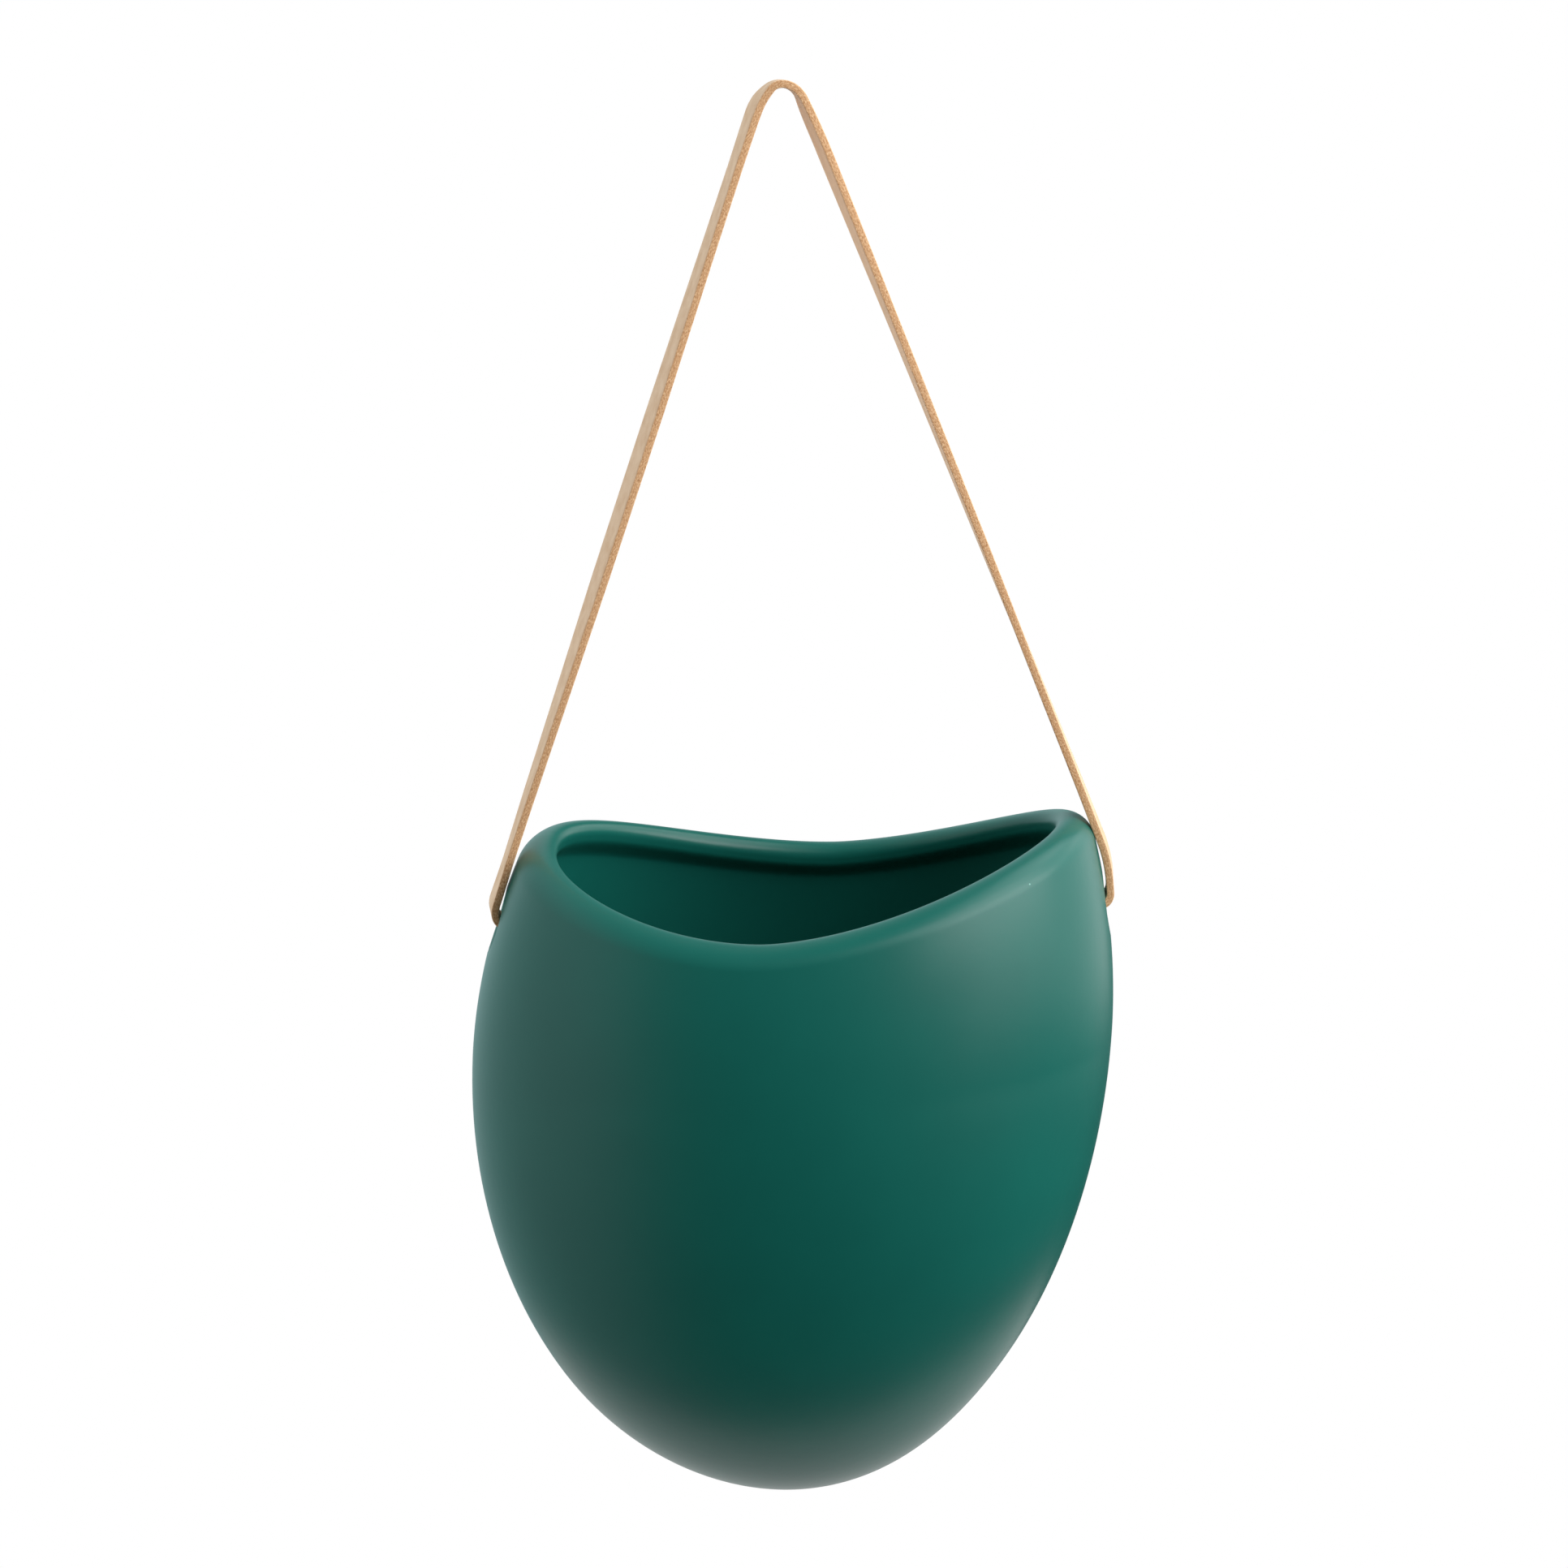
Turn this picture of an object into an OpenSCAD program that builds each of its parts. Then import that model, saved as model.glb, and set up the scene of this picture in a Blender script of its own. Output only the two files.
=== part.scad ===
// Hanging planter: a lopsided egg-shaped stoneware pot with a saddle-shaped mouth, hung by one
// leather strap. Each strap end turns into a round hole below a rim peak and is kept inside by a
// slotted washer and a binding screw. Millimetres, +Z up, front towards -Y. The origin is the
// centre of the bend at the top of the strap, where a peg or hook carries the planter.

/* [Pot] */
// Width of the pot at its belly
pot_w = 190; // [160:1:230]
// Depth of the pot at its belly
pot_d = 139; // [115:1:170]
// Height of the belly above the lowest point of the pot
belly_z = 139; // [115:1:150]
// Height above the belly at which the sides would close over
crown_h = 141; // [125:1:190]
// Height above the belly at which the front and back would close over
crown_d = 120; // [105:1:220]
// How far the lower half of the pot drifts to the left
lean = 13.3; // [0:0.1:16]
// How far the lowest point is drawn back to the right
tip_shift = 2.3; // [0:0.1:4]
// Wall thickness of the pot
wall = 6; // [5:0.5:7.5]
// Thickness of the floor of the pot
floor_t = 7; // [5:0.5:12]

/* [Rim] */
// Height of the two rim peaks above the lowest point of the pot
peak_z = 204.4; // [198:0.1:212]
// How far the rim dips at the front and back
rim_dip = 19.3; // [8:0.1:26]
// How far the front dip of the rim stands left of the middle, and the back dip right of it
rim_turn = 11.4; // [0:0.2:14]
// Thickness of the rolled rim, from its outer shoulder to its inner face
rim_t = 10.9; // [9.5:0.1:12.5]
// How far in from the outer wall the crest of the rim stands
crest_in = 5.8; // [5:0.1:7]
// Height over which the rim rounds up from the outer wall to its crest
shoulder_h = 6; // [3:0.5:8]
// Height over which the rim rounds down from its crest to its inner face
edge_h = 4.5; // [2:0.25:6]
// Height of the straight inner face of the rim
lip_h = 1.2; // [0.5:0.1:4]
// Height over which the wall thins below that face
undercut_h = 6; // [4:0.5:9]
// Rise of the right rim peak over the left one
rim_tilt = 2.8; // [0:0.1:4]

/* [Strap] */
// Width of the leather strap
strap_w = 12; // [9:0.5:14]
// Thickness of the leather
strap_t = 2.3; // [1.6:0.1:2.8]
// Radius of the inside of the bend at the top, where the peg sits
seat_r = 5.6; // [4:0.1:8]
// Depth of the two side holes below the origin
hole_drop = 236.3; // [232:0.1:245]
// Largest radius with which a leg turns upright beside the pot
shoulder_r = 40; // [15:1:60]
// Inner radius of the bend into a side hole
hole_bend = 2.8; // [2:0.1:3.5]
// Gap between the strap and the outside of the pot beside a hole
strap_gap = 0.8; // [0.3:0.1:1]
// Gap at which each slanted leg passes the shoulder of the rim
rim_gap = 0.6; // [0.3:0.1:1]
// Length of strap beyond the washer, inside the pot
tail_l = 11.5; // [10.5:0.5:16]

/* [Fastening] */
// Height of the side holes above the lowest point of the pot
hole_z = 179.2; // [174:0.1:182]
// Radial gap between the strap's corners and a side hole
hole_gap = 0.9; // [0.7:0.1:1.4]
// Depth to which the outer edge of each side hole is softened
hole_ease = 1.8; // [1:0.1:2]
// Thickness that the swelling round each hole adds inside
pad_h = 9; // [8:0.5:10]
// Thickness of the wall at the centre of a hole, out to the washer's seat
seat_t = 9.5; // [9:0.1:11]
// Diameter of the slotted washers
washer_d = 19; // [17.5:0.5:20]
// Thickness of the slotted washers
washer_t = 1.5; // [1:0.1:2]
// Gap all round between a washer's slot and the strap
slot_gap = 0.2; // [0.1:0.05:0.3]
// Gap between a washer and its seat
seat_gap = 0.3; // [0.2:0.05:0.5]
// Diameter of the heads of the binding screws
head_d = 9; // [7:0.5:9.5]
// Thickness of the heads of the binding screws
head_t = 1.5; // [1:0.1:2]
// Outer diameter of the barrel of a binding post
barrel_d = 5; // [4.5:0.1:5.5]
// Diameter of the shank of a binding screw
shank_d = 3; // [2.5:0.1:3.2]
// Width of the screwdriver slot
driver_w = 1; // [0.8:0.1:1.2]
// Depth of the screwdriver slot
driver_h = 0.7; // [0.5:0.05:0.8]

/* [Hidden] */

$fn = 96;
// Points round the pot, and rows along each stretch of its profile
around = 60;
rows_low = 10;
rows_high = 6;
rows_shoulder = 5;
rows_edge = 4;
rows_under = 4;
// Powers of the egg's curves: 2 is an ellipse
side_power = 1.91;
front_power = 2;
rim_power = 1.735;
// Power of the plan at the rim's peaks; down to the belly it falls to 2
plan_power = 2.24;
// How far the pot's top stands right of the origin
top_shift = 1.3;
// Height below which the lowest point is drawn to the right
tip_h = 40;
// Reach of the swelling round each hole
pad_reach = 14;
// Least height above the bend into a hole at which a slanted leg meets its upright end
turn_room = 1;
// Points in each turn of the strap beside the pot, and over the arch
turn_steps = 12;
arch_steps = 24;
// The legs' inner faces stand this much inside the seat's cylinder, which cuts the arch's inside
seat_bite = 0.02;
seat_cut = 0.25;
// Room round a washer in its seat, and between a washer and the screw's head
seat_rim = 0.6;
head_play = 0.2;
// Running gap between a screw shank and its barrel, and between a barrel and the punched hole
thread_gap = 0.05;
punch_gap = 0.1;

base_z = -hole_drop - hole_z;
half_t = strap_t / 2;
bend_r = hole_bend + half_t;
hole_r = norm([strap_w / 2, half_t]) + hole_gap;
seat_face_r = washer_d / 2 + seat_rim;
leg_off = seat_r - seat_bite + half_t;

// The egg: heights z here are above the pot's lowest point
function lobe(t, p) = pow(max(0, 1 - pow(max(0, t), p)), 1 / p);
function side_girth(z, low) = z < belly_z ? lobe((belly_z - z) / (belly_z - low), 2)
                                          : lobe((z - belly_z) / crown_h, side_power);
function front_girth(z, low) = z < belly_z ? lobe((belly_z - z) / (belly_z - low), 2)
                                           : lobe((z - belly_z) / crown_d, front_power);
function centre_x(z) = top_shift - lean * (1 - pow(max(0, min(1, z / peak_z)), 2))
                       + tip_shift * pow(max(0, 1 - z / tip_h), 2);
function side_x(z, side) = centre_x(z) + side * pot_w / 2 * side_girth(z, 0);

// How much further out than an ellipse the plan lies at angle a: it gets squarer towards the rim
function spread(a, z) =
    let (p = 2 + (plan_power - 2) * max(0, min(1, (z - belly_z) / (peak_z - belly_z))))
    pow(pow(abs(cos(a)), p) + pow(abs(sin(a)), p), -1 / p);

// Height of the rim's top at angle a and x from the pot's upright axis
function rim_z(a, x) =
    peak_z - rim_dip * (1 - pow(abs(x - rim_turn * sin(a)) / rim_reach, rim_power))
    + rim_tilt / 2 * x / rim_reach;
rim_reach = pot_w / 2 * side_girth(peak_z, 0) - crest_in;
// The rim's top at an angle round the pot settles in a few steps, as its plan narrows upwards
function crest(a, z, steps) =
    let (x = (pot_w / 2 * side_girth(z, 0) - crest_in) * spread(a, z) * cos(a))
    steps == 0 ? z : crest(a, rim_z(a, x), steps - 1);

// Extra inset of the inner face: the swelling that backs each hole
function pad(y, z) = pad_h * exp(-pow(norm([y, z - hole_z]) / pad_reach, 4));

// One ring point at angle a and height z, drawn in from the outer surface by inset
function ring_y(a, z, inset) = (pot_d / 2 * front_girth(z, 0) - inset) * spread(a, z) * sin(a);
function ring_point(a, z, inset) =
    [centre_x(z) + (pot_w / 2 * side_girth(z, 0) - inset) * spread(a, z) * cos(a),
     ring_y(a, z, inset), z + base_z];
function inner_point(a, z, inset) = ring_point(a, z, inset + pad(ring_y(a, z, inset), z));
function bowl_point(a, z) =
    let (g = side_girth(z, floor_t),
         y = (pot_d / 2 - wall) * g * sin(a),
         swell = pad(y, z) * g)
    [centre_x(z) + ((pot_w / 2 - wall) * g - swell) * cos(a), y, z + base_z];

// The column of points at angle a, from the outer base up over the rim and down to the floor
function column(a) =
    let (top = crest(a, peak_z - rim_dip / 2, 6),
         mid = top - shoulder_h,
         lip = top - edge_h - lip_h,
         under = lip - undercut_h)
    concat(
        [for (i = [1:rows_low]) ring_point(a, belly_z * (1 - cos(90 * i / rows_low)), 0)],
        [for (i = [1:rows_high]) ring_point(a, belly_z + (mid - belly_z) * i / rows_high, 0)],
        [for (i = [1:rows_shoulder])
            let (t = 90 * i / rows_shoulder)
            ring_point(a, mid + shoulder_h * sin(t), crest_in * (1 - cos(t)))],
        [for (i = [1:rows_edge])
            let (t = 90 * i / rows_edge)
            ring_point(a, top - edge_h * (1 - cos(t)), crest_in + (rim_t - crest_in) * sin(t))],
        [inner_point(a, lip, rim_t)],
        [for (i = [1:rows_under])
            let (t = i / rows_under)
            inner_point(a, lip - undercut_h * t, rim_t - (rim_t - wall) * (1 - cos(180 * t)) / 2)],
        [for (i = [1:rows_high]) inner_point(a, under + (belly_z - under) * i / rows_high, wall)],
        [for (i = [1:rows_low - 1])
            bowl_point(a, belly_z - (belly_z - floor_t) * sin(90 * i / rows_low))]
    );

module shell() {
    columns = [for (k = [0:around - 1]) column(360 * k / around)];
    rows = len(columns[0]);
    points = concat([for (c = columns) each c],
                    [[centre_x(0), 0, base_z], [centre_x(floor_t), 0, floor_t + base_z]]);
    low_pole = around * rows;
    faces = [for (k = [0:around - 1])
        let (a = k * rows, b = (k + 1) % around * rows)
        each concat(
            [[low_pole, a, b]],
            [for (i = [0:rows - 2]) each [[a + i, a + i + 1, b + i], [b + i, a + i + 1, b + i + 1]]],
            [[a + rows - 1, low_pole + 1, b + rows - 1]])];
    polyhedron(points, faces, convexity = 6);
}

// The side holes, softened outside, and the flat seats of the washers inside
function wall_x(side) = side_x(hole_z, side);
function seat_x(side) = wall_x(side) - side * seat_t;
function wall_tilt(side) =
    atan(side * (side_x(hole_z - hole_r, side) - side_x(hole_z + hole_r, side)) / (2 * hole_r));

module along_x(x0, x1, r) {
    translate([min(x0, x1), 0, -hole_drop]) rotate([0, 90, 0]) cylinder(h = abs(x1 - x0), r = r);
}

module pot() {
    color("#1f5c52") difference() {
        shell();
        for (side = [-1, 1]) {
            along_x(wall_x(side) - side * 25, wall_x(side) + side * 12, hole_r);
            along_x(seat_x(side), seat_x(side) - side * 16, seat_face_r);
            translate([wall_x(side), 0, -hole_drop]) rotate([0, side * (90 - wall_tilt(side)), 0])
                cylinder(h = 4 * hole_ease, r1 = hole_r - hole_ease,
                         r2 = hole_r + 3 * hole_ease, center = true);
        }
    }
}

// The strap's side view, X across and Y up in the sketch: arch, leg, shoulder, tab, bend, tail
// Where the strap's middle line stands beside the pot
function tab_x(side) = side * side_x(hole_z + bend_r, side) + strap_gap + half_t;
// Slant at which a face of a leg, off from the origin, goes through a point beside the pot
function slant(x, drop, off) = acos(off / norm([x, drop])) - atan2(drop, x);
// The slant that passes the shoulder of a rim peak at rim_gap
function rim_slant(side) =
    let (mid = crest(90 - side * 90, peak_z, 6) - shoulder_h)
    slant(side * side_x(mid, side), -base_z - mid, seat_r - seat_bite - rim_gap);
// The slant that meets the upright end turn_room above the bend into its hole
function end_slant(side) = slant(tab_x(side), hole_drop - bend_r - turn_room, leg_off);
leg_angle = max(rim_slant(-1), rim_slant(1), end_slant(-1), end_slant(1));
// Height at which the slanted leg's middle line meets the upright at tab_x
function corner_z(side) = -(tab_x(side) * cos(leg_angle) - leg_off) / sin(leg_angle);
function washer_x(side) = side * seat_x(side) - seat_gap - washer_t;
function tail_x(side) = washer_x(side) - tail_l;
// A leg that meets its hole's bend early turns upright more tightly
function turn_r(side) =
    min(shoulder_r, (corner_z(side) + hole_drop - bend_r - seat_bite) / tan(leg_angle / 2));

// One face of a strap leg, off from its middle line, from the arch down to the tail's end
function face_path(side, off) =
    let (x = tab_x(side), r = turn_r(side), z = corner_z(side) - r * tan(leg_angle / 2))
    concat(
        [(leg_off + off) * [cos(leg_angle), sin(leg_angle)]],
        [for (i = [0:turn_steps])
            let (a = leg_angle * (1 - i / turn_steps))
            [x - r, z] + (r + off) * [cos(a), sin(a)]],
        [for (i = [0:turn_steps])
            let (a = -90 * i / turn_steps)
            [x - bend_r, bend_r - hole_drop] + (bend_r + off) * [cos(a), sin(a)]],
        [[tail_x(side), -hole_drop - off]]);
function backwards(list) = [for (i = [len(list) - 1:-1:0]) list[i]];
function flipped(list) = [for (p = list) [-p[0], p[1]]];

// The arch over the peg, from the right leg to the left one
function arch_path(r) =
    [for (i = [1:arch_steps - 1])
        let (a = leg_angle + (180 - 2 * leg_angle) * i / arch_steps)
        r * [cos(a), sin(a)]];

// The strap's side view: its outer face from tail to tail, and back along its inner face
module strap_sketch() {
    polygon(concat(
        backwards(face_path(1, half_t)), arch_path(leg_off + half_t),
        flipped(face_path(-1, half_t)), backwards(flipped(face_path(-1, -half_t))),
        backwards(arch_path(seat_r - seat_cut)), face_path(1, -half_t)));
}

// Middle of the binding screw along the tail
function screw_x(side) = side * (washer_x(side) - head_play - head_d / 2);

module strap() {
    color("#cfa27c") difference() {
        rotate([90, 0, 0]) linear_extrude(strap_w, center = true) strap_sketch();
        rotate([90, 0, 0]) cylinder(h = 2 * strap_w, r = seat_r, center = true);
        for (side = [-1, 1])
            translate([screw_x(side), 0, -hole_drop])
                cylinder(h = 3 * strap_t, r = barrel_d / 2 + punch_gap, center = true);
    }
}

module washer(side) {
    x = side * washer_x(side);
    color("#b08d57") difference() {
        along_x(x, x + side * washer_t, washer_d / 2);
        translate([x, 0, -hole_drop])
            cube([4 * washer_t, strap_w + 2 * slot_gap, strap_t + 2 * slot_gap], center = true);
    }
}

// The post's head lies under the tail and its barrel stands up through it
module post(side) {
    color("#c9a45c") translate([screw_x(side), 0, -hole_drop - half_t]) difference() {
        union() {
            translate([0, 0, -head_t]) cylinder(h = head_t, r = head_d / 2);
            cylinder(h = strap_t, r = barrel_d / 2);
        }
        translate([0, 0, thread_gap]) cylinder(h = 2 * strap_t, r = shank_d / 2 + thread_gap);
    }
}

// The screw's head lies on top of the tail, slotted for a driver
module screw(side) {
    color("#c9a45c") translate([screw_x(side), 0, -hole_drop + half_t]) difference() {
        union() {
            cylinder(h = head_t, r = head_d / 2);
            translate([0, 0, -strap_t + 2 * thread_gap])
                cylinder(h = strap_t - 2 * thread_gap, r = shank_d / 2);
        }
        translate([0, 0, head_t]) cube([2 * head_d, driver_w, 2 * driver_h], center = true);
    }
}

module washer_left() { washer(-1); }
module washer_right() { washer(1); }
module post_left() { post(-1); }
module post_right() { post(1); }
module screw_left() { screw(-1); }
module screw_right() { screw(1); }

pot();
strap();
washer_left();
washer_right();
post_left();
post_right();
screw_left();
screw_right();
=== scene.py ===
"""Looks of the hanging planter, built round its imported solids: a glazed pot on a leather strap."""
import math

import bpy
import numpy as np
from mathutils import Matrix, Vector


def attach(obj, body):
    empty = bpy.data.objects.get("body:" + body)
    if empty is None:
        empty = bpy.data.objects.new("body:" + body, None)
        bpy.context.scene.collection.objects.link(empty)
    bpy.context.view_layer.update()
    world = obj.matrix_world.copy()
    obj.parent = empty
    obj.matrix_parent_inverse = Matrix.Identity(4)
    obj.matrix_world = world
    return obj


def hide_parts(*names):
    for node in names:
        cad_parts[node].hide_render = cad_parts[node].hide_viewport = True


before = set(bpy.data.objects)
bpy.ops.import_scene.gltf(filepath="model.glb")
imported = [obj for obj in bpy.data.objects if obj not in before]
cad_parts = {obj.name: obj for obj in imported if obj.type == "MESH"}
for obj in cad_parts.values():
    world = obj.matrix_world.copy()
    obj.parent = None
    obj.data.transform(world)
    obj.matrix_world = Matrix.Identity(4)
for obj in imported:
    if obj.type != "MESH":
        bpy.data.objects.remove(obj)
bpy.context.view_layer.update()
scene = bpy.context.scene
scene.view_settings.view_transform = "Standard"


# Camera
# A long lens 1.4 m in front of the planter and a little above it, turned 2 degrees on its axis,
# so that the planter's right side stands slightly higher in the picture.
lens_mm, sensor_mm = 111.15, 36.0
stand = Vector((-0.00531, -1.3838, 0.1303))
aim = Vector((-0.00555, 0.0, -0.1976))
roll = math.radians(2.014)

sight = (aim - stand).normalized()
right = sight.cross(Vector((0, 0, 1))).normalized()
up = right.cross(sight)
tilted_right = right * math.cos(roll) - up * math.sin(roll)
tilted_up = right * math.sin(roll) + up * math.cos(roll)
camera_data = bpy.data.cameras.new("camera")
camera_data.lens = lens_mm
camera_data.sensor_width = sensor_mm
camera = bpy.data.objects.new("camera", camera_data)
facing = Matrix((tilted_right, tilted_up, -sight)).transposed()
camera.matrix_world = Matrix.Translation(stand) @ facing.to_4x4()
scene.collection.objects.link(camera)
scene.camera = camera


# Pot
# A slip-cast stoneware shell, egg-shaped and lopsided, with a thick saddle-shaped rim that is
# undercut inside. Two round holes go through it below the rim's peaks, each with softened outer
# edges and a flat seat inside, and the whole is dipped in a satin teal glaze.
MM = 0.001
quarter = np.pi / 2

# The solid's sizes in millimetres; heights of the pot count from its lowest point, at base_z
pot_w, pot_d = 190.0, 139.0
belly_z, crown_h, crown_d = 139.0, 141.0, 120.0
lean, tip_shift, tip_h, top_shift = 13.3, 2.3, 40.0, 1.3
wall, floor_t = 6.0, 7.0
peak_z, rim_dip, rim_turn, rim_tilt = 204.4, 19.3, 11.4, 2.8
rim_t, crest_in, shoulder_h, edge_h, lip_h, undercut_h = 10.9, 5.8, 6.0, 4.5, 1.2, 6.0
side_power, front_power, rim_power, plan_power = 1.91, 2.0, 1.735, 2.24
pad_h, pad_reach = 9.0, 14.0
hole_z, hole_drop, hole_r, seat_t, seat_face_r = 179.2, 236.3, 7.01, 9.5, 10.1
base_z = -hole_drop - hole_z

# A hole's softened outer edge: how far it draws in, and over how many times that
hole_ease, ease_reach = 1.8, 1.9

# The mesh: columns and how far they crowd towards the holes, and rows from the base over the rim
# and down to the floor
columns, crowding = 320, 0.3
bowl_rows, wall_rows, shoulder_rows, edge_rows = 56, 60, 24, 20
lip_rows, under_rows, inner_rows, floor_rows = 3, 12, 40, 48

# How far the bore reaches into and out of the outer wall, and the facing tool in from the seat
bore_in, bore_out, face_in = 25, 12, 16


def lobe(t, power):
    """Half height of a superellipse of that power at t, from 1 at t = 0 to 0 at t = 1."""
    return np.clip(1 - np.clip(t, 0, None) ** power, 0, None) ** (1 / power)


def girth(z, crown, power, low):
    """Share of the belly's girth at height z: an ellipse below the belly, a superellipse above."""
    below = lobe(np.clip((belly_z - z) / (belly_z - low), 0, None), 2)
    above = lobe(np.clip((z - belly_z) / crown, 0, None), power)
    return np.where(z < belly_z, below, above)


def side_girth(z, low=0.0):
    """Share of the belly's width at height z."""
    return girth(z, crown_h, side_power, low)


def front_girth(z):
    """Share of the belly's depth at height z."""
    return girth(z, crown_d, front_power, 0.0)


def centre_x(z):
    """Middle of the pot at height z: it drifts left downwards by the square of the height, and the
    lowest stretch is drawn back to the right by a square again."""
    drawn = tip_shift * np.clip(1 - z / tip_h, 0, 1) ** 2
    return top_shift - lean * (1 - np.clip(z / peak_z, 0, 1) ** 2) + drawn


def side_x(z, side):
    """Outer wall at height z on the left (-1) or right (1)."""
    return centre_x(z) + side * pot_w / 2 * side_girth(z)


def spread(angle, z):
    """How much further out than an ellipse the plan lies: a superellipse whose power grows from 2
    at the belly to plan_power at the rim's peaks."""
    power = 2 + (plan_power - 2) * np.clip((z - belly_z) / (peak_z - belly_z), 0, 1)
    return (np.abs(np.cos(angle)) ** power + np.abs(np.sin(angle)) ** power) ** (-1 / power)


rim_reach = pot_w / 2 * side_girth(peak_z) - crest_in


def rim_height(angle, x):
    """Height of the rim's top at an angle, x from the middle: a saddle tilted up to the right,
    whose dip stands rim_turn to the left at the front and to the right at the back."""
    off = np.abs(x - rim_turn * np.sin(angle)) / rim_reach
    return peak_z - rim_dip * (1 - off ** rim_power) + rim_tilt / 2 * x / rim_reach


def crest(angle, rounds=12):
    """Height of the rim's top at an angle, settled in rounds as the plan narrows upwards."""
    z = np.full_like(angle, peak_z - rim_dip / 2)
    for _ in range(rounds):
        x = (pot_w / 2 * side_girth(z) - crest_in) * spread(angle, z) * np.cos(angle)
        z = rim_height(angle, x)
    return z


def pad(y, z):
    """Thickness of the swelling that backs a hole: a flat-topped bell round its axis."""
    return pad_h * np.exp(-((np.hypot(y, z - hole_z) / pad_reach) ** 4))


def eased(y, z):
    """How far the glaze draws in round a hole's outer edge: a cosine falling to 0 off the edge."""
    off = (np.hypot(y, z - hole_z) - hole_r) / (ease_reach * hole_ease)
    return hole_ease * (0.5 + 0.5 * np.cos(np.pi * np.clip(off, 0, 1)))


def steps(end, count):
    """Even steps from 0 to end, without 0 itself."""
    return np.linspace(0, end, count + 1)[1:]


def pot_rows():
    """Points of the pot, rows by columns: each column runs from the outer base up over the rim and
    down to the floor; the columns crowd towards the two holes, by a sine of twice the angle."""
    even = np.linspace(0, 2 * np.pi, columns, endpoint=False)
    angle = even - crowding * np.sin(2 * even)
    top = crest(angle)
    mid = top - shoulder_h
    edge = top - edge_h
    lip = edge - lip_h
    under = lip - undercut_h
    rows = []

    def ring(z, inset, swell=0.0, ease=0.0):
        """A row at height z, inset from the outer wall, with shares of the pad and eased edge."""
        out = spread(angle, z)
        y = (pot_d / 2 * front_girth(z) - inset) * out * np.sin(angle)
        draw = inset + swell * pad(y, z) + ease * eased(y, z)
        x = centre_x(z) + (pot_w / 2 * side_girth(z) - draw) * out * np.cos(angle)
        rows.append(np.stack([x, y, z + base_z], -1))

    for t in steps(quarter, bowl_rows):
        ring(np.full_like(angle, belly_z * (1 - math.cos(t))), 0.0, ease=1.0)
    for t in steps(1, wall_rows):
        ring(belly_z + (mid - belly_z) * t, 0.0, ease=1.0)
    for t in steps(quarter, shoulder_rows):
        ring(mid + shoulder_h * math.sin(t), crest_in * (1 - math.cos(t)))
    for t in steps(quarter, edge_rows):
        ring(edge + edge_h * math.cos(t), crest_in + (rim_t - crest_in) * math.sin(t))
    for t in steps(1, lip_rows):
        ring(edge - lip_h * t, rim_t, swell=t)
    for t in steps(1, under_rows):
        inset = rim_t - (rim_t - wall) * (1 - math.cos(np.pi * t)) / 2
        ring(lip - undercut_h * t, inset, swell=1.0)
    for t in steps(1, inner_rows):
        ring(under + (belly_z - under) * t, wall, swell=1.0)
    for t in steps(quarter, floor_rows)[:-1]:
        z = np.full_like(angle, belly_z - (belly_z - floor_t) * math.sin(t))
        share = side_girth(z, floor_t)
        y = (pot_d / 2 - wall) * share * np.sin(angle)
        x = centre_x(z) + ((pot_w / 2 - wall) * share - pad(y, z) * share) * np.cos(angle)
        rows.append(np.stack([x, y, z + base_z], -1))
    return np.stack(rows)


def round_faces(count, around):
    """Quads between count rings of around points each."""
    across = np.arange(around)
    after = (across + 1) % around
    band = np.arange(count - 1)[:, None] * around
    quads = [band + across, band + after, band + around + after, band + around + across]
    return np.stack(quads, -1).reshape(-1, 4).tolist()


def closed_grid(name, rows, low, high):
    """Mesh of a grid that closes round its columns, with a pole point at each end of them."""
    count, around = rows.shape[:2]
    points = np.concatenate([rows.reshape(-1, 3), [low, high]]) * MM
    across = np.arange(around)
    after = (across + 1) % around
    low_fan = np.stack([np.full(around, count * around), after, across], -1)
    last = (count - 1) * around
    high_fan = np.stack([last + across, last + after, np.full(around, count * around + 1)], -1)
    faces = round_faces(count, around) + low_fan.tolist() + high_fan.tolist()
    mesh = bpy.data.meshes.new(name)
    mesh.from_pydata(points.tolist(), [], faces)
    mesh.shade_smooth()
    return mesh


def rod_along_x(name, start, end, radius, sides=96):
    """Closed cylinder along X through the holes' axis: the tool that bores and faces the clay."""
    near, far = min(start, end), max(start, end)
    angle = np.linspace(0, 2 * np.pi, sides, endpoint=False)
    tall = radius * np.sin(angle) - hole_drop
    circle = np.stack([np.zeros(sides), radius * np.cos(angle), tall], -1)
    rings = np.stack([circle + [near, 0, 0], circle + [far, 0, 0]])
    mesh = closed_grid(name, rings, [near, 0, -hole_drop], [far, 0, -hole_drop])
    mesh.flip_normals()
    rod = bpy.data.objects.new(name, mesh)
    scene.collection.objects.link(rod)
    return rod


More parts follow.
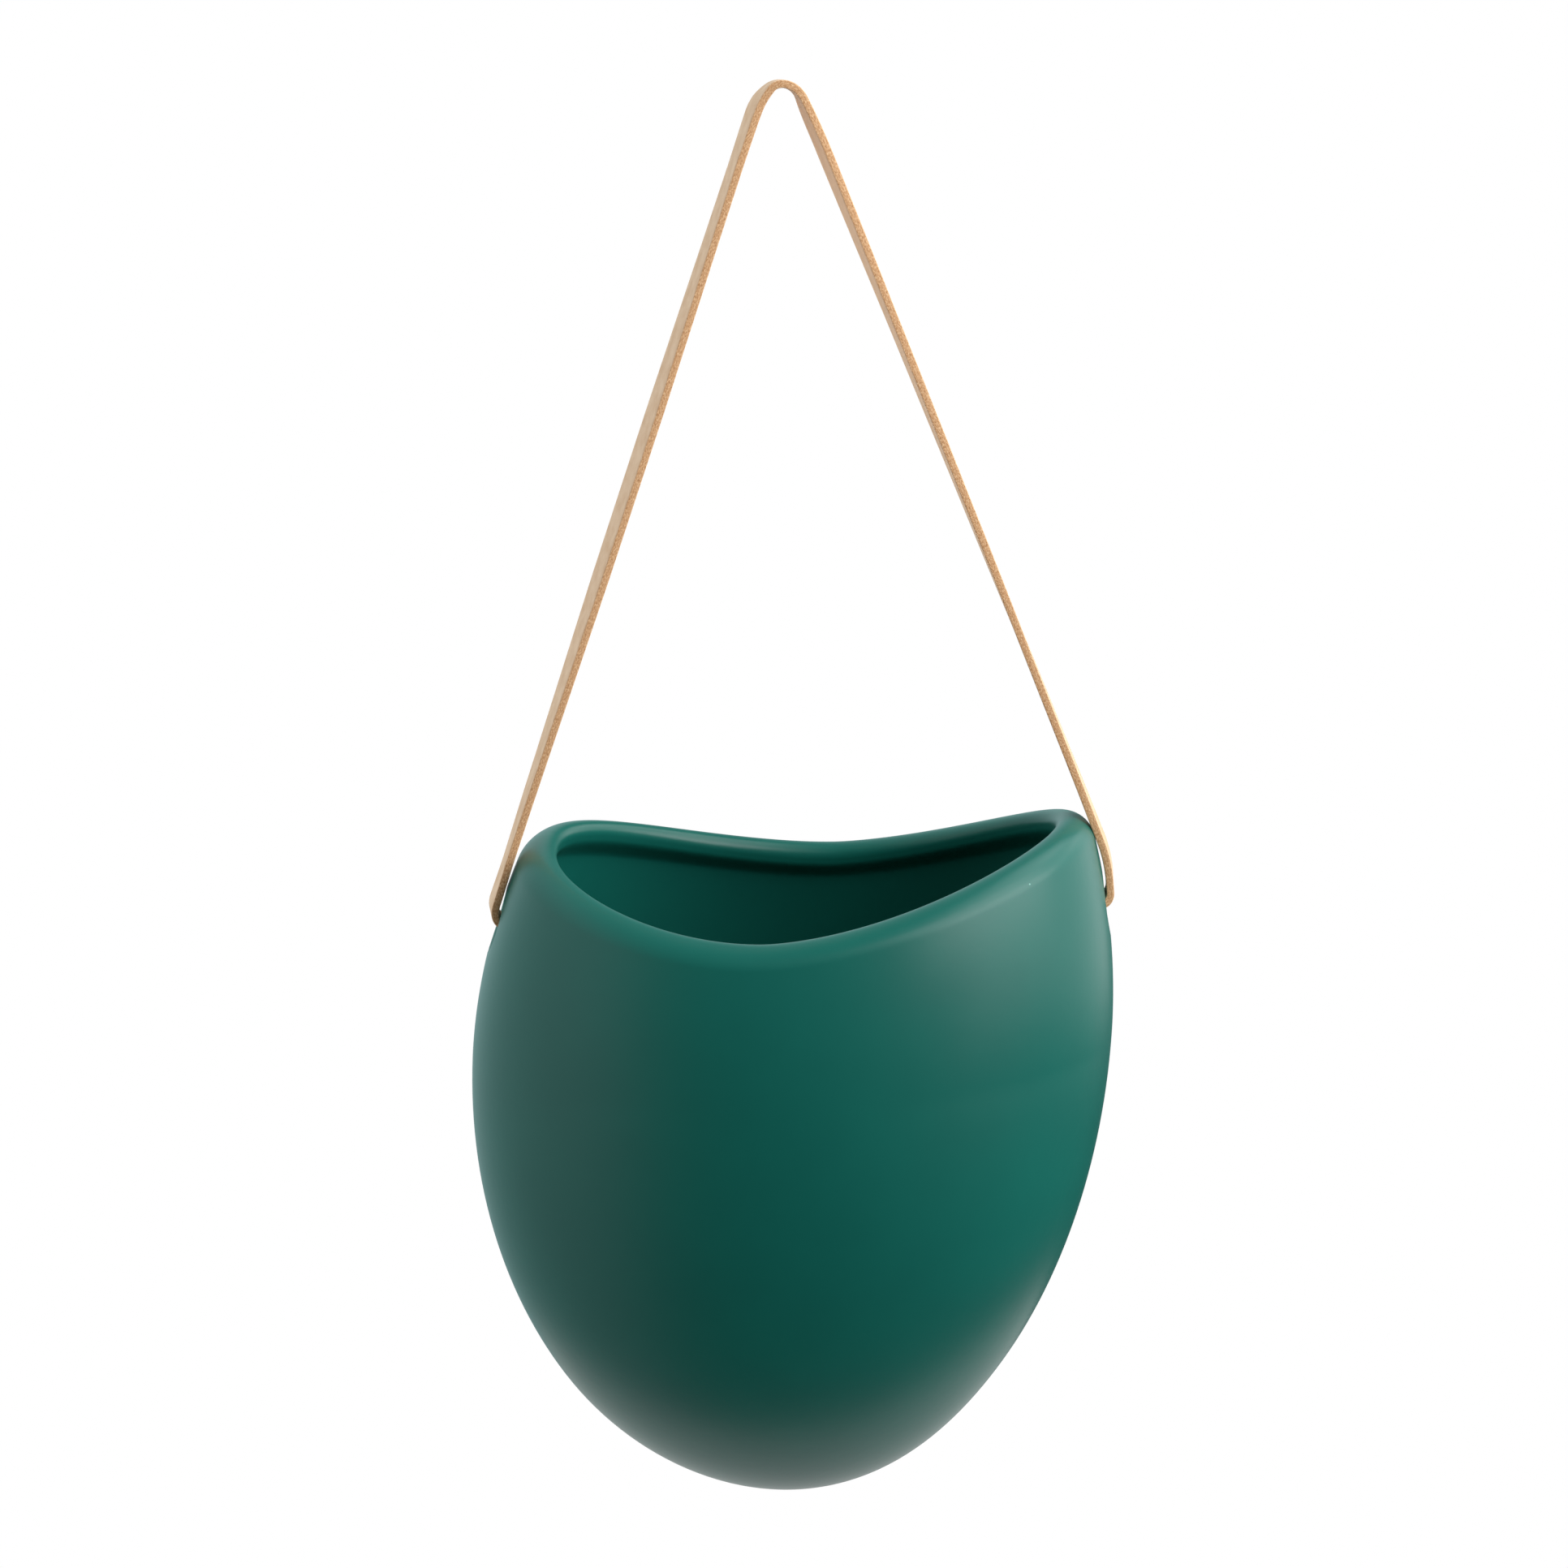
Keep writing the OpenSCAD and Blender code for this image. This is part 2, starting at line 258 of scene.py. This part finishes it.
base = [centre_x(0.0), 0, base_z]
floor_middle = [centre_x(floor_t), 0, floor_t + base_z]
shell = closed_grid("glazed_pot", pot_rows(), base, floor_middle)
pot = bpy.data.objects.new("glazed_pot", shell)
scene.collection.objects.link(pot)
for side in (-1, 1):
    outer = float(side_x(hole_z, side))
    seat = outer - side * seat_t
    for start, end, radius in ((outer - side * bore_in, outer + side * bore_out, hole_r),
                               (seat, seat - side * face_in, seat_face_r)):
        tool = rod_along_x("bore", start, end, radius)
        cut = pot.modifiers.new("bore", "BOOLEAN")
        cut.operation = "DIFFERENCE"
        cut.solver = "EXACT"
        cut.object = tool
        evaluated = pot.evaluated_get(bpy.context.evaluated_depsgraph_get())
        shaped = bpy.data.meshes.new_from_object(evaluated)
        pot.modifiers.remove(cut)
        pot.data = shaped
        bpy.data.objects.remove(tool)
pot.data.shade_smooth()
pot.data.set_sharp_from_angle(angle=math.radians(40))


def linear(code):
    """Linear colour of an sRGB hex code."""
    parts = [int(code[i : i + 2], 16) / 255 for i in (1, 3, 5)]
    curved = [p / 12.92 if p <= 0.04045 else ((p + 0.055) / 1.055) ** 2.4 for p in parts]
    return (*curved, 1.0)


def add(tree, kind, stops=(), **values):
    """Adds a node. A value names a property of the node or an input socket, with _ for a space,
    or in0, in1 ... for a socket's place; a value that is a socket is linked to it. Stops are a
    colour ramp's positions and sRGB hex codes, the lowest and the highest first."""
    node = tree.nodes.new(kind)
    for i, (position, code) in enumerate(stops):
        ramp = node.color_ramp.elements
        stop = ramp[i] if i < 2 else ramp.new(position)
        stop.position = position
        stop.color = linear(code)
    for name, value in values.items():
        if name[:2] == "in" and name[2:].isdigit():
            socket = node.inputs[int(name[2:])]
        elif name in node.bl_rna.properties:
            setattr(node, name, value)
            continue
        else:
            socket = node.inputs[name.replace("_", " ")]
        if isinstance(value, bpy.types.NodeSocket):
            tree.links.new(value, socket)
        else:
            socket.default_value = value
    return node


def new_material(name):
    """An empty node material, its tree and the input that takes its shader."""
    material = bpy.data.materials.new(name)
    material.use_nodes = True
    tree = material.node_tree
    tree.nodes.clear()
    return material, tree, tree.nodes.new("ShaderNodeOutputMaterial").inputs["Surface"]


# Satin stoneware glaze: a fired glass skin with fine crystals in it, so its gloss is broad and
# soft. It pools slightly darker and lighter over 45 mm, has a faint orange-peel of 3 mm, and in a
# tenth of its 16 mm patches a pale pinhole 0.6 mm wide.
pool_size, peel_size, peel_depth = 45.45, 3.03, 0.6
patch_size, bare_share, pinhole_r = 16.13, 0.9, 0.29
satin_glaze, tree, surface = new_material("satin_glaze")
place = add(tree, "ShaderNodeTexCoord").outputs["Object"]
pool = add(tree, "ShaderNodeTexNoise", Vector=place, Scale=1 / (pool_size * MM), Detail=3.0)
tint = add(tree, "ShaderNodeValToRGB", Fac=pool.outputs["Fac"],
           stops=((0.3, "#0D584F"), (0.7, "#0E5D53")))
patch = add(tree, "ShaderNodeTexVoronoi", Vector=place, Scale=1 / (patch_size * MM),
            feature="F1", Randomness=1.0)
chance = add(tree, "ShaderNodeSeparateColor", Color=patch.outputs["Color"])
chosen = add(tree, "ShaderNodeMath", operation="GREATER_THAN", in0=chance.outputs["Red"],
             in1=bare_share)
near = add(tree, "ShaderNodeMath", operation="LESS_THAN", in0=patch.outputs["Distance"],
           in1=pinhole_r / patch_size)
pinhole = add(tree, "ShaderNodeMath", operation="MULTIPLY", in0=chosen.outputs[0],
              in1=near.outputs[0])
skin = add(tree, "ShaderNodeMix", data_type="RGBA", in0=pinhole.outputs[0],
           in6=tint.outputs["Color"], in7=linear("#6FA79C"))
peel = add(tree, "ShaderNodeTexNoise", Vector=place, Scale=1 / (peel_size * MM), Detail=2.0)
relief = add(tree, "ShaderNodeBump", Strength=0.04, Distance=peel_depth * MM,
             Height=peel.outputs["Fac"])
glaze = add(tree, "ShaderNodeBsdfPrincipled", Base_Color=skin.outputs[2], Roughness=0.35, IOR=1.5,
            Specular_IOR_Level=0.36, Normal=relief.outputs["Normal"])
tree.links.new(glaze.outputs[0], surface)
pot.data.materials.append(satin_glaze)
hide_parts("pot")
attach(pot, "pot")


# Strap
# One 12 mm strip of vegetable-tanned leather, 2.3 mm thick and cut with a blade, so its faces are
# smooth and pale and its edges fibrous and darker. It hangs with a slight twist, comes down both
# sides of the pot and turns into the holes, where a washer and a binding screw hold it.

# The solid's sizes in millimetres, from the arch's centre; its seat is cut seat_bite deep into the
# strap's inner face, and its legs can slant down to turn_room above the bends into the holes
strap_w, strap_t = 12.0, 2.3
seat_r, hole_bend, shoulder_r = 5.6, 2.8, 40.0
strap_gap, rim_gap, tail_l = 0.8, 0.6, 11.5
washer_t, seat_gap = 1.5, 0.3
seat_bite, turn_room = 0.02, 1
half_t = strap_t / 2
bend_r = hole_bend + half_t
leg_off = seat_r - seat_bite + half_t

# The mesh: its spacing along curves and along the legs, rows of the tail, bend and arch, and the
# fewest rows of an upright and of a shoulder
curve_step, leg_step = 0.6, 1.5
tail_rows, bend_rows, arch_rows = 16, 16, 40
least_upright, least_shoulder = 3, 8


def tab_x(side):
    """Where the strap's middle line stands beside the pot."""
    return float(side * side_x(hole_z + bend_r, side)) + strap_gap + half_t


def slant(x, drop, off):
    """Slant at which a face of a leg, off from the origin, goes through a point beside the pot."""
    return math.acos(off / math.hypot(x, drop)) - math.atan2(drop, x)


def rim_slant(side):
    """The slant that passes the shoulder of a rim peak at rim_gap."""
    mid = float(crest(np.array([0.0 if side > 0 else np.pi]))[0]) - shoulder_h
    return slant(float(side * side_x(mid, side)), -base_z - mid, seat_r - seat_bite - rim_gap)


def end_slant(side):
    """The slant that reaches the strap's upright end, with turn_room to spare."""
    return slant(tab_x(side), hole_drop - bend_r - turn_room, leg_off)


leg_angle = max(rim_slant(-1), rim_slant(1), end_slant(-1), end_slant(1))


def half_path(side):
    """The strap's middle line on one side, from the tail's end up to the arch, as x and z:
    straight tail, quarter bend, upright, shoulder and slanted leg."""
    x = tab_x(side)
    corner = -(x * math.cos(leg_angle) - leg_off) / math.sin(leg_angle)
    room = (corner + hole_drop - bend_r - seat_bite) / math.tan(leg_angle / 2)
    turn_r = min(shoulder_r, room)
    start = corner - turn_r * math.tan(leg_angle / 2)
    end = side * (float(side_x(hole_z, side)) - side * seat_t) - seat_gap - washer_t - tail_l
    tail = np.linspace(end, x - bend_r, tail_rows)[:-1]
    bend = np.linspace(-quarter, 0, bend_rows)
    rise = max(least_upright, int((start + hole_drop - bend_r) / curve_step))
    upright = np.linspace(-hole_drop + bend_r, start, rise)[1:-1]
    turn = np.linspace(0, leg_angle, max(least_shoulder, int(turn_r * leg_angle / curve_step)))
    shoulder = np.stack([x - turn_r + turn_r * np.cos(turn), start + turn_r * np.sin(turn)], -1)
    foot = shoulder[-1]
    head = leg_off * np.array([math.cos(leg_angle), math.sin(leg_angle)])
    leg = np.linspace(0, 1, int(np.hypot(*(head - foot)) / leg_step))[1:-1, None]
    return np.concatenate([
        np.stack([tail, np.full_like(tail, -hole_drop)], -1),
        np.stack([x - bend_r + bend_r * np.cos(bend),
                  bend_r - hole_drop + bend_r * np.sin(bend)], -1),
        np.stack([np.full_like(upright, x), upright], -1),
        shoulder,
        foot + leg * (head - foot)])


rising = half_path(1)
falling = half_path(-1)[::-1] * [-1, 1]
over = np.linspace(leg_angle, np.pi - leg_angle, arch_rows)
arch = leg_off * np.stack([np.cos(over), np.sin(over)], -1)
middle = np.concatenate([rising, arch, falling])
length = np.concatenate([[0], np.cumsum(np.hypot(*np.diff(middle, axis=0).T))])
height = middle[:, 1]
on_right = middle[:, 0] > 0

# The strap lies in the holes up to end_top above their axis and end_reach out from the middle
end_top, end_reach = 1, 90
in_hole = (height < end_top - hole_drop) & (np.abs(middle[:, 0]) < end_reach)


def soft(values, reach=3, fine_step=0.25):
    """Running average of values along the strap over reach millimetres each way, weighted by a
    raised cosine."""
    fine = np.arange(0, length[-1], fine_step)
    kernel = np.hanning(int(2 * reach / fine_step) | 1)
    padded = np.pad(np.interp(fine, length, values), len(kernel) // 2, mode="edge")
    smooth = np.convolve(padded, kernel / kernel.sum(), "valid")[: len(fine)]
    return np.interp(length, fine, smooth)


def by_height(right_side, left_side):
    """A value along the strap, straight between knots of height and value on each of its sides."""
    return np.where(on_right, np.interp(height, *zip(*right_side)),
                    np.interp(height, *zip(*left_side)))


# How the strap lies, in millimetres, heights counted from the arch's centre. Its middle follows
# the solid's line, shifted a little to the right or left (-), mostly towards the wall beside it.
# The far edge drifts to the left of the near one over most of its length, which is the strap's
# twist, and dips below it at the arch. Inside the holes it lies as the solid does.
shift = by_height(
    ((-238, 0), (-232, -0.5), (-222, -0.5), (-200, -0.2), (-150, 0.1), (-70, 0.3), (-10, 0.3),
     (2, 0.0), (5, 0.1), (6.6, 0.3)),
    ((-238, 0), (-232, 0.3), (-222, 0.3), (-200, 0.1), (-60, 0.0), (-4, 0.0), (1, 0.1), (3, 0.8),
     (5, 1.2), (6.6, 0.5)))
drift = by_height(
    ((-238, 0), (-233, 0.6), (-226, 0.8), (-205, 0.4), (-182, 0.1), (-158, -0.2), (-134, -0.8),
     (-110, -1.1), (-86, -1.5), (-62, -1.8), (-39, -2.2), (-15, -2.5), (-5, -2.4), (0, -2.0),
     (3, -1.4), (5.5, -0.9)),
    ((-238, 0), (-233, -1.4), (-228, -1.4), (-218, -1.0), (-205, -1.3), (-182, -1.8), (-158, -2.4),
     (-134, -3.0), (-86, -3.1), (-62, -2.7), (-39, -2.4), (-15, -2.3), (-3, -2.7), (1, -3.0),
     (4, -2.6), (6.5, -1.0)))
dip = by_height(((-60, 0), (-10, -0.6), (2, -0.5), (6.5, -0.9)),
                ((-60, 0), (-10, -0.8), (1, -1.1), (6.5, -0.9)))
shift, drift, dip = soft(shift * ~in_hole), soft(drift * ~in_hole), soft(dip)
across = np.stack([drift, np.full(len(middle), strap_w), dip], -1)
across /= np.linalg.norm(across, axis=1, keepdims=True)
centre = np.stack([middle[:, 0] + shift, np.zeros(len(middle)), height], -1)
near_edge = centre - across * strap_w / 2


def strap_section(face_points=9, corner_points=4, round_r=0.3):
    """Cross-section of the strip: a loop of distances across from its near edge and outwards from
    its middle, with a quarter circle at each corner and points along each face."""
    corner = np.linspace(0, quarter, corner_points)
    wide, tall = strap_w - round_r, half_t - round_r
    loop = []
    for turn, (x, z) in enumerate(((wide, tall), (round_r, tall), (round_r, -tall), (wide, -tall))):
        angle = corner + turn * quarter
        loop += list(zip(x + round_r * np.cos(angle), z + round_r * np.sin(angle)))
        if turn in (0, 2):
            start, end, face = (wide, round_r, half_t) if turn == 0 else (round_r, wide, -half_t)
            between = np.linspace(0, 1, face_points)[1:-1]
            loop += [(start + (end - start) * t, face) for t in between]
    return np.array(loop)


section = strap_section()
outward = np.cross(across, np.gradient(near_edge, length, axis=0))
outward /= np.linalg.norm(outward, axis=1, keepdims=True)
grid = (near_edge[:, None] + across[:, None] * section[None, :, :1]
        + outward[:, None] * section[None, :, 1:])
count, around = grid.shape[:2]
caps = [list(range(around))[::-1], [(count - 1) * around + i for i in range(around)]]
mesh = bpy.data.meshes.new("leather_strap")
mesh.from_pydata((grid.reshape(-1, 3) * MM).tolist(), [], round_faces(count, around) + caps)

# The strip's own length and width go to its UV map, in metres, so that fibres follow the strap
girth_at = np.concatenate([[0], np.cumsum(np.hypot(*np.diff(section, axis=0).T))])
loops = np.zeros(len(mesh.loops), np.int64)
mesh.loops.foreach_get("vertex_index", loops)
uv = np.stack([length[loops // around], girth_at[loops % around]], -1) * MM
mesh.uv_layers.new(name="strap").uv.foreach_set("vector", uv.ravel())

# The outer face takes material 0, the inner one 1, and the cut edges and ends 2. The rounding of
# a corner counts as face down to face_depth.
face_depth = 0.12
facet_z = ((section + np.roll(section, -1, axis=0)) / 2)[:, 1]
kind = np.where(np.abs(facet_z) > half_t - face_depth, np.where(facet_z > 0, 0, 1), 2)
kinds = np.concatenate([np.tile(kind, count - 1), [2, 2]]).astype(np.int32)
mesh.polygons.foreach_set("material_index", kinds)
mesh.shade_smooth()
mesh.set_sharp_from_angle(angle=math.radians(50))
strap = bpy.data.objects.new("leather_strap", mesh)
scene.collection.objects.link(strap)

# Grain side and flesh side of vegetable-tanned leather: undyed, matt, with the faint mottling of
# the hide over 5 mm and pores of 0.4 mm, drawn coarser than real ones so that they show
mottle_size, pore_size, pore_depth = 4.762, 0.3846, 0.2
for name, light, dark, grip in (("leather_grain_side", "#D8BA9A", "#CDAA86", 0.05),
                                ("leather_flesh_side", "#E3BE9B", "#DCB48F", 0.01)):
    leather, tree, surface = new_material(name)
    place = add(tree, "ShaderNodeTexCoord").outputs["Object"]
    mottle = add(tree, "ShaderNodeTexNoise", Vector=place, Scale=1 / (mottle_size * MM),
                 Detail=4.0, Roughness=0.6)
    tint = add(tree, "ShaderNodeValToRGB", Fac=mottle.outputs["Fac"],
               stops=((0.35, dark), (0.65, light)))
    pores = add(tree, "ShaderNodeTexNoise", Vector=place, Scale=1 / (pore_size * MM), Detail=2.0)
    relief = add(tree, "ShaderNodeBump", Strength=grip, Distance=pore_depth * MM,
                 Height=pores.outputs["Fac"])
    hide = add(tree, "ShaderNodeBsdfPrincipled", Base_Color=tint.outputs["Color"], Roughness=0.62,
               Specular_IOR_Level=0.35, Normal=relief.outputs["Normal"])
    tree.links.new(hide.outputs[0], surface)
    mesh.materials.append(leather)

# Cut edge of the leather: fibre bundles 0.4 mm thick and twice as long along the strap, coarser
# than real ones so that they show, brown where the tan has darkened, and painted paler where they
# stand out: a painted highlight on the raised fibres
fibre_long, fibre_thick, fibre_depth = 0.7143, 0.3846, 0.2
cut_edge, tree, surface = new_material("leather_cut_edge")
strip = add(tree, "ShaderNodeUVMap", uv_map="strap").outputs["UV"]
drawn = add(tree, "ShaderNodeMapping", Vector=strip,
            Scale=(1 / (fibre_long * MM), 1 / (fibre_thick * MM), 1.0))
fibre = add(tree, "ShaderNodeTexNoise", Vector=drawn.outputs[0], Scale=1.0, Detail=5.0,
            Roughness=0.65)
# The colour follows the same noise as the relief, so the raised fibres carry a painted highlight
tint = add(tree, "ShaderNodeValToRGB", Fac=fibre.outputs["Fac"],
           stops=((0.32, "#9C6F47"), (0.68, "#E4C49C"), (0.5, "#C79A70")))
relief = add(tree, "ShaderNodeBump", Strength=0.18, Distance=fibre_depth * MM,
             Height=fibre.outputs["Fac"])
edge = add(tree, "ShaderNodeBsdfPrincipled", Base_Color=tint.outputs["Color"], Roughness=0.8,
           Specular_IOR_Level=0.25, Normal=relief.outputs["Normal"])
tree.links.new(edge.outputs[0], surface)
mesh.materials.append(cut_edge)
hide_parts("strap")
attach(strap, "strap")


# Washers and binding screws
# Stamped brass washers with a slot for the strap, and turned brass binding posts with slotted
# screws: lathe-turned metal left bare, a little dulled, with turning marks 0.15 mm apart.
mark_gap, mark_long, mark_depth, haze_size = 0.1515, 0.9091, 0.1, 3.846
brass, tree, surface = new_material("turned_brass")
place = add(tree, "ShaderNodeTexCoord").outputs["Object"]
turned = add(tree, "ShaderNodeMapping", Vector=place,
             Scale=(1 / (mark_long * MM), 1 / (mark_gap * MM), 1 / (mark_gap * MM)))
marks = add(tree, "ShaderNodeTexNoise", Vector=turned.outputs[0], Scale=1.0, Detail=3.0)
haze = add(tree, "ShaderNodeTexNoise", Vector=place, Scale=1 / (haze_size * MM), Detail=3.0)
tint = add(tree, "ShaderNodeValToRGB", Fac=haze.outputs["Fac"],
           stops=((0.35, "#A8844A"), (0.7, "#D6B774")))
relief = add(tree, "ShaderNodeBump", Strength=0.15, Distance=mark_depth * MM,
             Height=marks.outputs["Fac"])
metal = add(tree, "ShaderNodeBsdfPrincipled", Base_Color=tint.outputs["Color"], Metallic=1.0,
            Roughness=0.34, Normal=relief.outputs["Normal"])
tree.links.new(metal.outputs[0], surface)
for name in ("washer_left", "washer_right", "post_left", "post_right", "screw_left", "screw_right"):
    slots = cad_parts[name].data.materials
    slots.clear()
    slots.append(brass)


# Studio
# A white sweep behind the planter and round its left side, dark towards the camera and dimmer
# below, six soft boxes on the right, in front, beside and above, and a pale floor 0.6 m below.


def seen_by(tree):
    """Whether a ray comes straight from the camera, also through glass, and whether mirrored."""
    rays = add(tree, "ShaderNodeLightPath").outputs
    straight = add(tree, "ShaderNodeMath", operation="MAXIMUM", in0=rays["Is Camera Ray"],
                   in1=rays["Is Transmission Ray"])
    return straight.outputs[0], rays["Is Glossy Ray"]


# The sweep is white to the camera. Its light on the planter comes from left_way, and what is
# mirrored of it is fainter than what lights, and slightly teal.
left_way = (-0.9, 0.45, 0.0)
lit_level, mirrored_tint = 1.6, (0.72, 0.97, 1.0, 1.0)
world = bpy.data.worlds.new("studio")
scene.world = world
world.use_nodes = True
tree = world.node_tree
tree.nodes.clear()
way = add(tree, "ShaderNodeTexCoord").outputs["Generated"]
to_left = add(tree, "ShaderNodeVectorMath", operation="DOT_PRODUCT", in0=way, in1=left_way)
sweep = add(tree, "ShaderNodeMapRange", interpolation_type="SMOOTHSTEP",
            Value=to_left.outputs["Value"], From_Min=0.05, From_Max=0.55, To_Min=0.0, To_Max=0.9)
rise = add(tree, "ShaderNodeSeparateXYZ", Vector=way)
lift = add(tree, "ShaderNodeMapRange", Value=rise.outputs["Z"], From_Min=-0.75, From_Max=-0.1,
           To_Min=0.45, To_Max=1.0)
round_left = add(tree, "ShaderNodeMath", operation="MULTIPLY", in0=sweep.outputs[0],
                 in1=lift.outputs[0])
lit = add(tree, "ShaderNodeMath", operation="MULTIPLY", in0=round_left.outputs[0], in1=lit_level)
straight, mirrored = seen_by(tree)
bounced = add(tree, "ShaderNodeMix", data_type="FLOAT", in0=mirrored, in2=lit.outputs[0],
              in3=round_left.outputs[0])
level = add(tree, "ShaderNodeMix", data_type="FLOAT", in0=straight, in2=bounced.outputs[0],
            in3=1.0)
colour = add(tree, "ShaderNodeMix", data_type="RGBA", in0=mirrored, in6=(1.0, 1.0, 1.0, 1.0),
             in7=mirrored_tint)
white = add(tree, "ShaderNodeBackground", Color=colour.outputs[2], Strength=level.outputs[0])
tree.links.new(white.outputs[0], add(tree, "ShaderNodeOutputWorld").inputs["Surface"])

# Each soft box stands box_far from the pot's middle and faces it: degrees round from the right
# side to the back, or to the camera (-), degrees up, width and height in metres, and watts
box_far, pot_middle = 1.35, Vector((0, 0, -0.3))
soft_boxes = (("soft_box_front", -33, 20, 1.3, 0.7, 16.6),
              ("soft_box_front_high", -40, 44, 1.2, 0.6, 9.1),
              ("soft_box_front_low", -25, -2, 1.0, 0.5, 3.1),
              ("soft_box_side", 25, 8, 1.6, 1.2, 9.0),
              ("soft_box_side_high", 22, 42, 1.2, 0.7, 4.5),
              ("soft_box_top", 2, 66, 1.2, 0.6, 5.8))
for name, degrees_round, degrees_up, wide, tall, watts in soft_boxes:
    lamp = bpy.data.lights.new(name, "AREA")
    lamp.shape = "RECTANGLE"
    lamp.size = wide
    lamp.size_y = tall
    lamp.energy = watts
    turn, climb = math.radians(degrees_round), math.radians(degrees_up)
    out = Vector((math.cos(climb) * math.cos(turn), math.cos(climb) * math.sin(turn),
                  math.sin(climb)))
    box = bpy.data.objects.new(name, lamp)
    box.location = pot_middle + box_far * out
    box.rotation_euler = (-out).to_track_quat("-Z", "Y").to_euler()
    box.visible_camera = False
    scene.collection.objects.link(box)

# The floor is a pale disc, three quarters as bright as the sweep where it is seen or mirrored
floor_glow = 0.75
floor_r, floor_y, floor_z, floor_sides = 0.7, 0.55, -1.0, 128
floor_material, tree, surface = new_material("pale_floor")
paint = add(tree, "ShaderNodeBsdfDiffuse", Color=linear("#F4F4F2"))
glow = add(tree, "ShaderNodeEmission", Color=(1, 1, 1, 1), Strength=1.0)
straight, mirrored = seen_by(tree)
shown = add(tree, "ShaderNodeMath", operation="MAXIMUM", in0=straight, in1=mirrored)
share = add(tree, "ShaderNodeMath", operation="MULTIPLY", in0=shown.outputs[0], in1=floor_glow)
blend = add(tree, "ShaderNodeMixShader", in0=share.outputs[0], in1=paint.outputs[0],
            in2=glow.outputs[0])
tree.links.new(blend.outputs[0], surface)
angle = np.linspace(0, 2 * np.pi, floor_sides, endpoint=False)
disc = np.stack([floor_r * np.cos(angle), floor_y + floor_r * np.sin(angle),
                 np.full(floor_sides, floor_z)], -1)
floor_mesh = bpy.data.meshes.new("floor")
floor_mesh.from_pydata(disc.tolist(), [], [list(range(floor_sides))])
floor_mesh.materials.append(floor_material)
floor = bpy.data.objects.new("floor", floor_mesh)
scene.collection.objects.link(floor)
